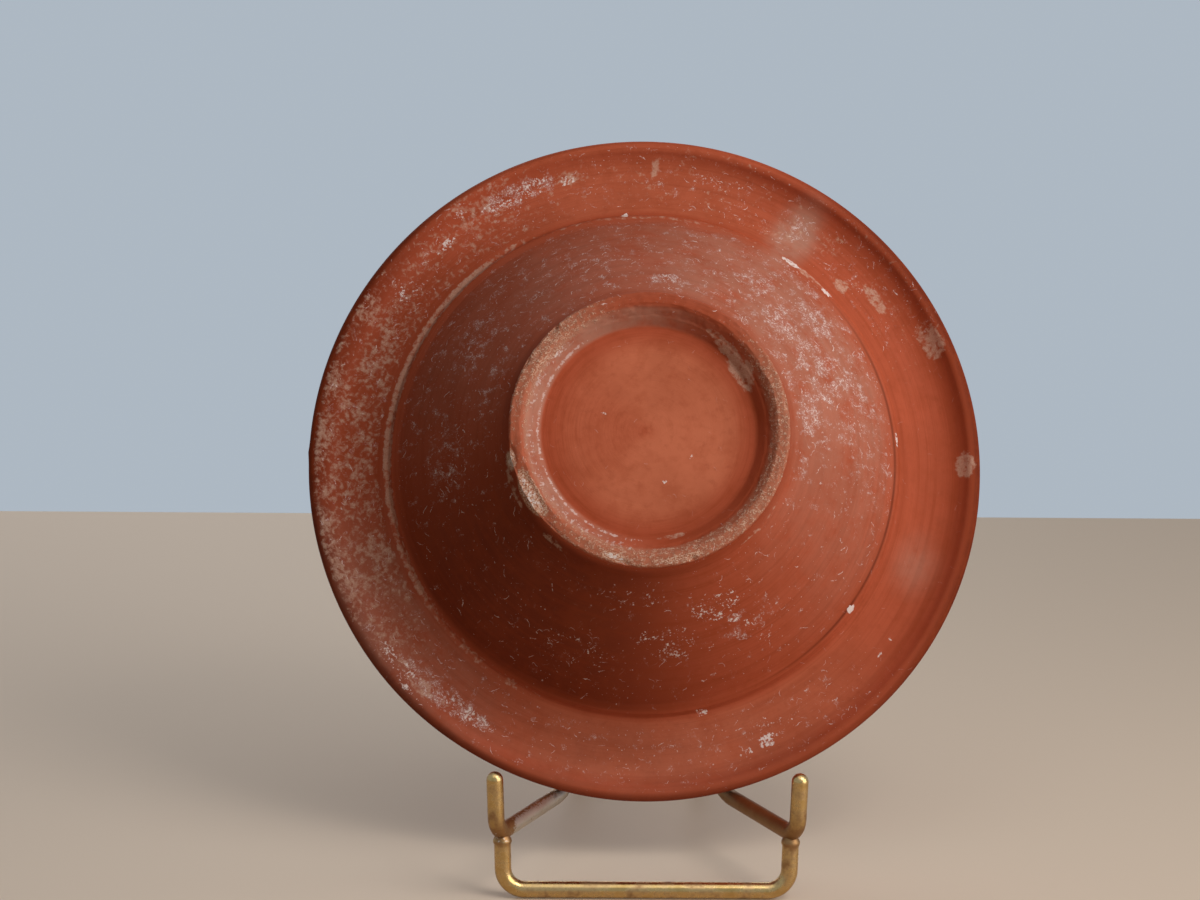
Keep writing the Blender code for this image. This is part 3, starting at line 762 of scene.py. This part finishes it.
class Nodes:
    """A material's node tree, with a short call for each kind of node it needs."""

    def __init__(self, name):
        """Starts a material with a plain principled shader."""
        self.material = bpy.data.materials.new(name)
        self.material.use_nodes = True
        self.tree = self.material.node_tree
        self.shader = self.tree.nodes["Principled BSDF"]

    def put(self, socket, value):
        """Links a socket or sets a plain value, and leaves the input as it is for None."""
        if isinstance(value, bpy.types.NodeSocket):
            self.tree.links.new(value, socket)
        elif value is not None:
            socket.default_value = value

    def attribute(self, name):
        """One of the values stored on the mesh."""
        node = self.tree.nodes.new("ShaderNodeAttribute")
        node.attribute_name = name
        return node.outputs["Fac"]

    def place(self, frame=Matrix()):
        """The shaded point's place in a frame of its own, which is the object's if none is given."""
        node = self.tree.nodes.new("ShaderNodeMapping")
        node.vector_type = "TEXTURE"
        node.inputs["Location"].default_value = frame.translation
        node.inputs["Rotation"].default_value = frame.to_euler()
        self.put(node.inputs["Vector"], self.tree.nodes.new("ShaderNodeTexCoord").outputs["Object"])
        return node.outputs["Vector"]

    def maths(self, operation, first, second=None, third=None):
        """One step of arithmetic on up to three values."""
        node = self.tree.nodes.new("ShaderNodeMath")
        node.operation = operation
        self.put(node.inputs[0], first)
        self.put(node.inputs[1], second)
        self.put(node.inputs[2], third)
        return node.outputs[0]

    def times(self, first, second):
        """The product of two values."""
        return self.maths("MULTIPLY", first, second)

    def plus(self, first, second):
        """The sum of two values."""
        return self.maths("ADD", first, second)

    def most(self, *values):
        """The largest of the values."""
        largest = values[0]
        for value in values[1:]:
            largest = self.maths("MAXIMUM", largest, value)
        return largest

    def noise(self, vector, scale, detail=3.0, roughness=0.5, distortion=0.0, shift=0.0):
        """Noise from 0 to 1. The shift picks another part of the pattern."""
        if shift:
            vector = self.vector_maths("ADD", vector, (shift, shift, shift))
        node = self.tree.nodes.new("ShaderNodeTexNoise")
        self.put(node.inputs["Vector"], vector)
        self.put(node.inputs["Scale"], scale)
        self.put(node.inputs["Detail"], detail)
        self.put(node.inputs["Roughness"], roughness)
        self.put(node.inputs["Distortion"], distortion)
        return node.outputs["Fac"]

    def wander(self, vector, scale, reach):
        """The same place, pushed about by noise up to about the reach."""
        node = self.tree.nodes.new("ShaderNodeTexNoise")
        self.put(node.inputs["Vector"], vector)
        self.put(node.inputs["Scale"], scale)
        self.put(node.inputs["Detail"], 1.0)
        push = self.vector_maths("SUBTRACT", node.outputs["Color"], (0.5, 0.5, 0.5))
        return self.vector_maths("ADD", vector, self.vector_maths("MULTIPLY", push, (reach, reach, 0.0)))

    def cells(self, vector, scale, shift):
        """The middle of each random cell in the plane, and three chances from 0 to 1 of its own."""
        node = self.tree.nodes.new("ShaderNodeTexVoronoi")
        node.voronoi_dimensions = "2D"
        moved = self.vector_maths("ADD", vector, (shift, shift, 0.0))
        self.put(node.inputs["Vector"], moved)
        self.put(node.inputs["Scale"], scale)
        centre = self.vector_maths("SUBTRACT", node.outputs["Position"], (shift, shift, 0.0))
        return centre, node.outputs["Color"]

    def vector_maths(self, operation, first, second):
        """One step of arithmetic on two vectors."""
        node = self.tree.nodes.new("ShaderNodeVectorMath")
        node.operation = operation
        self.put(node.inputs[0], first)
        self.put(node.inputs[1], second)
        return node.outputs[0]

    def rise(self, value, low, high):
        """0 below low, 1 above high and smooth between."""
        node = self.tree.nodes.new("ShaderNodeMapRange")
        node.interpolation_type = "SMOOTHSTEP"
        self.put(node.inputs["Value"], value)
        self.put(node.inputs["From Min"], low)
        self.put(node.inputs["From Max"], high)
        return node.outputs["Result"]

    def mix(self, share, first, second):
        """Mixes two colours, each a socket or a plain colour."""
        node = self.tree.nodes.new("ShaderNodeMix")
        node.data_type = "RGBA"
        self.put(node.inputs[0], share)
        self.put(node.inputs[6], (*first, 1.0) if isinstance(first, tuple) else first)
        self.put(node.inputs[7], (*second, 1.0) if isinstance(second, tuple) else second)
        return node.outputs[2]

    def lay(self, share, strength, under, over):
        """The under colour with another laid on it, where the share says and as strong as given."""
        return self.mix(self.times(share, strength), under, over)

    def blend(self, share, first, second):
        """Mixes two plain numbers or values."""
        node = self.tree.nodes.new("ShaderNodeMix")
        node.data_type = "FLOAT"
        self.put(node.inputs[0], share)
        self.put(node.inputs[2], first)
        self.put(node.inputs[3], second)
        return node.outputs[0]

    def bump(self, height, distance):
        """The shading normal of a height from 0 to 1 that rises by the distance."""
        node = self.tree.nodes.new("ShaderNodeBump")
        node.inputs["Strength"].default_value = 1.0
        self.put(node.inputs["Height"], height)
        self.put(node.inputs["Distance"], distance)
        return node.outputs["Normal"]

    def separate(self, vector):
        """The three parts of a vector or a colour."""
        node = self.tree.nodes.new("ShaderNodeSeparateXYZ")
        self.put(node.inputs[0], vector)
        return node.outputs

    def combine(self, *values):
        """A vector from its three parts."""
        node = self.tree.nodes.new("ShaderNodeCombineXYZ")
        for socket, value in zip(node.inputs, values):
            self.put(socket, value)
        return node.outputs[0]


def cover(nodes, density, pattern, edge):
    """Where a pattern from 0 to 1 shows, if it covers the share of the surface that density gives."""
    bar = nodes.maths("SUBTRACT", 1.0, density)
    return nodes.rise(nodes.maths("SUBTRACT", pattern, bar), -edge, edge)


def turned_place(nodes, spot):
    """A place that runs fast across the turning lines and slowly along them."""
    x, y, z = nodes.separate(spot)
    squares = nodes.plus(nodes.times(x, x), nodes.times(y, y))
    radius = nodes.most(nodes.maths("SQRT", squares), MM)
    travel = nodes.plus(radius, nodes.times(z, 0.7))
    return nodes.combine(nodes.times(travel, 1900.0), nodes.maths("DIVIDE", x, radius),
                         nodes.maths("DIVIDE", y, radius))


def slip_colour(nodes, spot, turned, wheel, mottle):
    """The slip from pale to dark, its pale and dark ends also painting light and shade, with stains and
    turning lines, under its thin film, which also paints a highlight on the foot ring's inner slope.
    """
    tone_light_and_shade = nodes.attribute("tone_light_and_shade")
    lined = nodes.rise(tone_light_and_shade, 0.05, 0.45)
    broad = nodes.noise(nodes.vector_maths("MULTIPLY", turned, (0.26, 1.3, 1.3)), 1.0, 3.0, 0.6)
    streaks = nodes.times(nodes.rise(broad, 0.45, 0.66), lined)
    lines = nodes.times(nodes.rise(wheel, 0.42, 0.75), lined)
    stain = nodes.noise(spot, 150.0, 5.0, 0.65, shift=9.0)
    cloud = nodes.noise(spot, 38.0, 4.0, 0.55)
    film = nodes.noise(spot, 110.0, 6.0, 0.68, shift=7.0)
    film_and_highlight = nodes.times(nodes.attribute("film_and_highlight"), nodes.rise(film, 0.16, 0.62))

    # The palest and darkest ends paint light and shade as well as the slip's own colour
    colour = nodes.mix(nodes.rise(tone_light_and_shade, 0.0, 0.5), SLIP_PALE_AND_LIT, SLIP_USUAL)
    colour = nodes.mix(nodes.rise(tone_light_and_shade, 0.5, 1.0), colour, SLIP_DARK_AND_SHADED)
    colour = nodes.lay(nodes.rise(stain, 0.44, 0.66), 0.26, colour, SLIP_STAIN)
    colour = nodes.lay(nodes.rise(cloud, 0.42, 0.70), 0.30, colour, SLIP_CLOUD)
    colour = nodes.lay(streaks, 0.34, colour, SLIP_STREAK)
    colour = nodes.lay(lines, 0.30, colour, SLIP_LINE)
    colour = nodes.lay(nodes.rise(mottle, 0.50, 0.78), 0.26, colour, SLIP_MOTTLE)
    return nodes.lay(film_and_highlight, 0.47, colour, FILM_AND_HIGHLIGHT)


def worn_colour(nodes, spot, turned, grain, slip):
    """The slip's colour with clay and pale lines where it is worn, and where clay shows; on the foot
    ring's inner slope the pale lines also paint a highlight.
    """
    wear = nodes.attribute("worn")
    worn = cover(nodes, wear, nodes.noise(spot, 800.0, 5.0, 0.70, shift=11.0), 0.08)
    clay = nodes.mix(nodes.rise(grain, 0.42, 0.62), CLAY_RED, CLAY_PALE)
    clay = nodes.lay(nodes.rise(grain, 0.44, 0.32), 0.7, clay, CLAY_PIT)
    fibres = nodes.noise(nodes.vector_maths("MULTIPLY", turned, (1.6, 28.0, 28.0)), 1.0, 4.0, 0.65)
    rubbed_and_highlight = cover(nodes, nodes.attribute("rubbed_and_highlight"), fibres, 0.05)

    colour = nodes.lay(nodes.rise(wear, 0.27, 0.62), 0.45, slip, CLAY_DUST)
    colour = nodes.lay(worn, 0.72, colour, clay)
    return nodes.lay(rubbed_and_highlight, 0.70, colour, RUBBED_AND_HIGHLIGHT), worn


def crust_cover(nodes, spot, grain):
    """Where the soft tan crust lies, and its colour."""
    patchy = nodes.rise(nodes.noise(spot, 120.0, 3.0, 0.6, shift=17.0), 0.33, 0.67)
    density = nodes.times(nodes.attribute("crust"), nodes.maths("MULTIPLY_ADD", patchy, 0.36, 0.80))
    pattern = nodes.noise(spot, 640.0, 4.0, 0.60, distortion=0.3, shift=13.0)
    colour = nodes.mix(nodes.rise(grain, 0.35, 0.65), CRUST_DARK, CRUST_PALE)
    return cover(nodes, density, pattern, 0.14), colour


def chalk_cover(nodes, spot, marks_density):
    """Where white flecks lie, with single specks between the root marks."""
    fine = nodes.noise(spot, 1300.0, 4.0, 0.66, shift=19.0)
    broad = nodes.noise(spot, 300.0, 3.0, 0.6, shift=23.0)
    pattern = nodes.plus(nodes.times(fine, 0.64), nodes.times(broad, 0.36))
    chalk = cover(nodes, nodes.attribute("chalk"), pattern, 0.03)
    density = nodes.maths("MULTIPLY_ADD", marks_density, 0.42, 0.12)
    specks = cover(nodes, density, nodes.noise(spot, 1250.0, 2.0, 0.5, shift=37.0), 0.025)
    return nodes.most(chalk, nodes.times(specks, 0.6))


def root_marks(nodes, flat, density):
    """Ragged clusters of fine short lines with loose longer ones between, and the clusters alone."""
    x, y, _ = nodes.separate(flat)
    round_turn = nodes.plus(nodes.maths("ARCTAN2", y, x), math.pi / 2)
    bent = nodes.wander(nodes.wander(flat, 420.0, 1.6 * MM), 1500.0, 0.6 * MM)
    gathered = cover(nodes, density, nodes.noise(flat, 290.0, 6.0, 0.74, shift=29.0), 0.07)
    crossing = nodes.noise(flat, 760.0, 4.0, 0.6, distortion=0.7, shift=41.0)
    off_line = nodes.maths("ABSOLUTE", nodes.maths("SUBTRACT", crossing, 0.5))
    fine = nodes.times(nodes.rise(off_line, 0.034, 0.010), gathered)
    middle = strokes(nodes, bent, 1.5 * MM, 0.13 * MM, nodes.times(gathered, 0.62), round_turn, 3.0)
    sparse = nodes.maths("SUBTRACT", nodes.times(density, 0.9), 0.22)
    loose = strokes(nodes, bent, 2.2 * MM, 0.11 * MM, sparse, round_turn, 1.8)
    wear = nodes.rise(nodes.noise(flat, 1500.0, 3.0, 0.7, shift=31.0), 0.36, 0.56)
    return nodes.times(nodes.most(fine, middle, loose), wear), gathered


def strokes(nodes, flat, cell, half_width, density, turn, spread):
    """One short curved line to a cell, near the given direction, where the density lets it show."""
    centre, chance = nodes.cells(flat, 1.0 / cell, cell * 40.0)
    dx, dy, _ = nodes.separate(nodes.vector_maths("SUBTRACT", flat, centre))
    swing, gate, curl = nodes.separate(chance)
    turn = nodes.plus(turn, nodes.times(nodes.maths("SUBTRACT", swing, 0.5), spread))
    cosine = nodes.maths("COSINE", turn)
    sine = nodes.maths("SINE", turn)
    along = nodes.plus(nodes.times(dx, cosine), nodes.times(dy, sine))
    across = nodes.maths("SUBTRACT", nodes.times(dy, cosine), nodes.times(dx, sine))
    bow = nodes.times(nodes.maths("SUBTRACT", curl, 0.5), 1.4 / cell)
    across = nodes.plus(across, nodes.times(nodes.times(along, along), bow))
    line = nodes.rise(nodes.maths("ABSOLUTE", across), half_width, 0.3 * half_width)
    reach = nodes.rise(nodes.maths("ABSOLUTE", along), 0.65 * cell, 0.3 * cell)
    shown = nodes.rise(nodes.maths("SUBTRACT", density, gate), -0.05, 0.10)
    return nodes.times(nodes.times(line, reach), shown)


def bowl_material(place):
    """Satin orange-red slip with wheel lines, root marks, lime crust and worn edges, with painted light
    and shade and a painted highlight on the foot ring's inner slope.
    """
    nodes = Nodes("red_slip")
    spot = nodes.place(place)
    turned = turned_place(nodes, spot)
    wheel = nodes.noise(turned, 1.0, 4.0, 0.65)
    mottle = nodes.noise(spot, 420.0, 4.0, 0.6, shift=3.0)
    grain = nodes.noise(spot, 2600.0, 2.0, 0.6, shift=5.0)
    x, y, _ = nodes.separate(spot)
    marks_density = nodes.attribute("marks")

    slip = slip_colour(nodes, spot, turned, wheel, mottle)
    colour, worn = worn_colour(nodes, spot, turned, grain, slip)
    crust, crust_colour = crust_cover(nodes, spot, grain)
    marks, gathered = root_marks(nodes, nodes.combine(x, y, 0.0), marks_density)
    chalk = chalk_cover(nodes, spot, marks_density)
    colour = nodes.lay(crust, 0.50, colour, crust_colour)
    colour = nodes.lay(gathered, 0.22, colour, MARK_DUST)
    colour = nodes.lay(marks, 0.88, colour, MARK)
    colour = nodes.lay(chalk, 0.82, colour, CHALK)

    satin = nodes.plus(nodes.times(wheel, 0.20), 0.46)
    rough = nodes.blend(nodes.most(worn, crust, marks, chalk), satin, 0.85)
    grit = nodes.times(nodes.times(grain, worn), 2.0)
    lift = nodes.plus(nodes.plus(grit, nodes.times(wheel, 0.55)), nodes.times(mottle, 0.40))
    nodes.put(nodes.shader.inputs["Base Color"], colour)
    nodes.put(nodes.shader.inputs["Roughness"], rough)
    nodes.put(nodes.shader.inputs["Normal"], nodes.bump(lift, 0.08 * MM))
    nodes.shader.inputs["Specular IOR Level"].default_value = 0.04
    return nodes.material


def brass_material():
    """Drawn brass wire, golden where it is clean and brown where it has tarnished, and brown too where a
    dark reflection is painted in.
    """
    nodes = Nodes("brass_wire")
    spot = nodes.place()
    cloud = nodes.noise(spot, 260.0, 4.0, 0.6)
    fleck = nodes.noise(spot, 1300.0, 4.0, 0.7, shift=3.0)
    tarnish_and_reflection = cover(nodes, nodes.attribute("tarnish_and_reflection"), cloud, 0.16)
    grey = cover(nodes, nodes.attribute("grey"), fleck, 0.06)
    colour = nodes.mix(nodes.rise(cloud, 0.3, 0.7), BRASS_DEEP, BRASS_BRIGHT)
    colour = nodes.lay(tarnish_and_reflection, 0.85, colour, BRASS_BROWN_AND_REFLECTION)
    colour = nodes.lay(grey, 0.8, colour, BRAZE_GREY)
    rough = nodes.plus(nodes.blend(tarnish_and_reflection, 0.19, 0.42), nodes.times(fleck, 0.10))
    nodes.put(nodes.shader.inputs["Base Color"], colour)
    nodes.put(nodes.shader.inputs["Roughness"], rough)
    nodes.put(nodes.shader.inputs["Normal"], nodes.bump(fleck, 0.02 * MM))
    nodes.shader.inputs["Metallic"].default_value = 1.0
    return nodes.material


def store_tarnish_and_reflection(wire):
    """Stores where a wire is brown, from tarnishing and from a painted dark reflection of a wooden table,
    and where its braze shows grey.
    """
    spots = np.empty(len(wire.data.vertices) * 3)
    wire.data.vertices.foreach_get("co", spots)
    spots = spots.reshape(-1, 3)
    behind = spots[:, 1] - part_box("stand_frame")[0].y
    height = spots[:, 2]
    left = smooth_fall(-12.0 * MM, 12.0 * MM, spots[:, 0])
    front = smooth_fall(8.0 * MM, 11.0 * MM, behind)
    arm = smooth_fall(1.5 * MM, 3.5 * MM, np.abs(height - ARM_HEIGHT))
    arm *= smooth_step(6.0 * MM, 11.0 * MM, behind) * smooth_fall(70.0 * MM, 80.0 * MM, behind)
    joint = front * smooth_fall(1.0 * MM, 4.0 * MM, np.abs(height - ARM_HEIGHT + 1.0 * MM))
    hook = front * smooth_step(16.5 * MM, 17.5 * MM, height) * smooth_fall(22.0 * MM, 29.0 * MM, height)
    # The even share is partly a painted dark reflection of a wooden table; the arms, joints and prong
    # bends add more brown
    tarnish_and_reflection = 0.42 + 0.50 * arm * (1.0 - 0.5 * left) + 0.12 * joint + 0.16 * hook
    grey = left * (0.64 * arm + 0.40 * joint)
    for name, values in (("tarnish_and_reflection", tarnish_and_reflection), ("grey", grey)):
        layer = wire.data.attributes.new(name, "FLOAT", "POINT")
        layer.data.foreach_set("value", np.clip(values, 0.0, 1.0))


def plain_material(name, colour, roughness, glow):
    """An even surface for the stage, with a weak glow in place of the light of a room."""
    nodes = Nodes(name)
    nodes.shader.inputs["Base Color"].default_value = (*colour, 1.0)
    nodes.shader.inputs["Roughness"].default_value = roughness
    nodes.shader.inputs["Emission Color"].default_value = (*colour, 1.0)
    nodes.shader.inputs["Emission Strength"].default_value = glow
    return nodes.material


# Stage

def make_table():
    """A plain pale table top that ends behind the object."""
    corners = [(-TABLE_REACH, -TABLE_REACH, 0.0), (TABLE_REACH, -TABLE_REACH, 0.0),
               (TABLE_REACH, TABLE_EDGE, 0.0), (-TABLE_REACH, TABLE_EDGE, 0.0)]
    mesh = bpy.data.meshes.new("table")
    mesh.from_pydata(corners, [], [(0, 1, 2, 3)])
    mesh.materials.append(plain_material("table", TABLE_COLOUR, 0.6, 0.16))
    table = bpy.data.objects.new("table", mesh)
    bpy.context.scene.collection.objects.link(table)
    table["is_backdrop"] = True


def make_light(name, place, target, size, power, colour):
    """A square soft light that faces a point."""
    light = bpy.data.lights.new(name, "AREA")
    light.size = size
    light.energy = power
    light.color = colour
    item = bpy.data.objects.new(name, light)
    item.location = place
    item.rotation_euler = (Vector(target) - Vector(place)).to_track_quat("-Z", "Y").to_euler()
    bpy.context.scene.collection.objects.link(item)


def make_lights():
    """A near soft key from the upper right, three wide fills and a pale backdrop."""
    middle = (0.0, -0.02, 0.12)
    warm = (1.0, 0.97, 0.94)
    mild = (1.0, 0.98, 0.96)
    make_light("key", (0.263, -0.277, 0.459), middle, 0.25, 1.28, warm)
    make_light("side_fill", (1.212, -0.682, 0.348), middle, 1.2, 12.8, mild)
    make_light("top_fill", (0.0, -0.522, 1.427), middle, 1.2, 3.65, mild)
    make_light("back_fill", (-0.35, 1.10, 0.75), middle, 1.2, 5.0, mild)
    world = bpy.data.worlds.new("backdrop")
    bpy.context.scene.world = world
    world.use_nodes = True
    background = world.node_tree.nodes["Background"]
    background.inputs["Color"].default_value = (*BACKDROP_COLOUR, 1.0)
    background.inputs["Strength"].default_value = 1.0
    world.cycles_visibility.diffuse = False


def make_camera():
    """The photograph's viewpoint."""
    camera = bpy.data.cameras.new("camera")
    camera.sensor_width = 36.0
    camera.lens = LENS
    item = bpy.data.objects.new("camera", camera)
    turn = (Matrix.Rotation(-CAMERA_HEADING, 4, "Z")
            @ Matrix.Rotation(math.pi / 2 + CAMERA_PITCH, 4, "X")
            @ Matrix.Rotation(CAMERA_ROLL, 4, "Z"))
    item.matrix_world = Matrix.Translation(CAMERA_PLACE) @ turn
    bpy.context.scene.collection.objects.link(item)
    bpy.context.scene.camera = item


def bowl_place(record):
    """The bowl's own frame in the world, from the mount on its foot ring."""
    mount = next(item for item in record["mounts"] if item["name"] == "bowl_foot_ring")
    up = -Vector(mount["axis"]).normalized()
    right = Vector((1.0, 0.0, 0.0))
    origin = Vector(mount["pos_m"]) - right * (FOOT_RADIUS - FOOT_FACE_WIDTH / 2)
    turn = Matrix((right, up.cross(right), up)).transposed()
    return Matrix.Translation(origin) @ turn.to_4x4()


def main():
    """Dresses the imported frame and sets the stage. Returns the frame's box."""
    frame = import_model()
    solid_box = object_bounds()
    bpy.context.scene.view_settings.view_transform = "Standard"

    place = bowl_place(frame["record"])
    bowl = make_bowl(place)
    bowl.data.materials.append(bowl_material(place))
    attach(bowl, "root")
    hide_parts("bowl")

    brass = brass_material()
    solids = ("stand_frame", "stand_front_foot", "stand_rear_leg")
    for wire, solid in zip(make_easel(), solids):
        wire.data.materials.append(brass)
        store_tarnish_and_reflection(wire)
        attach(wire, "root")
        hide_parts(solid)

    make_table()
    make_lights()
    make_camera()
    return solid_box


frame_box = main()
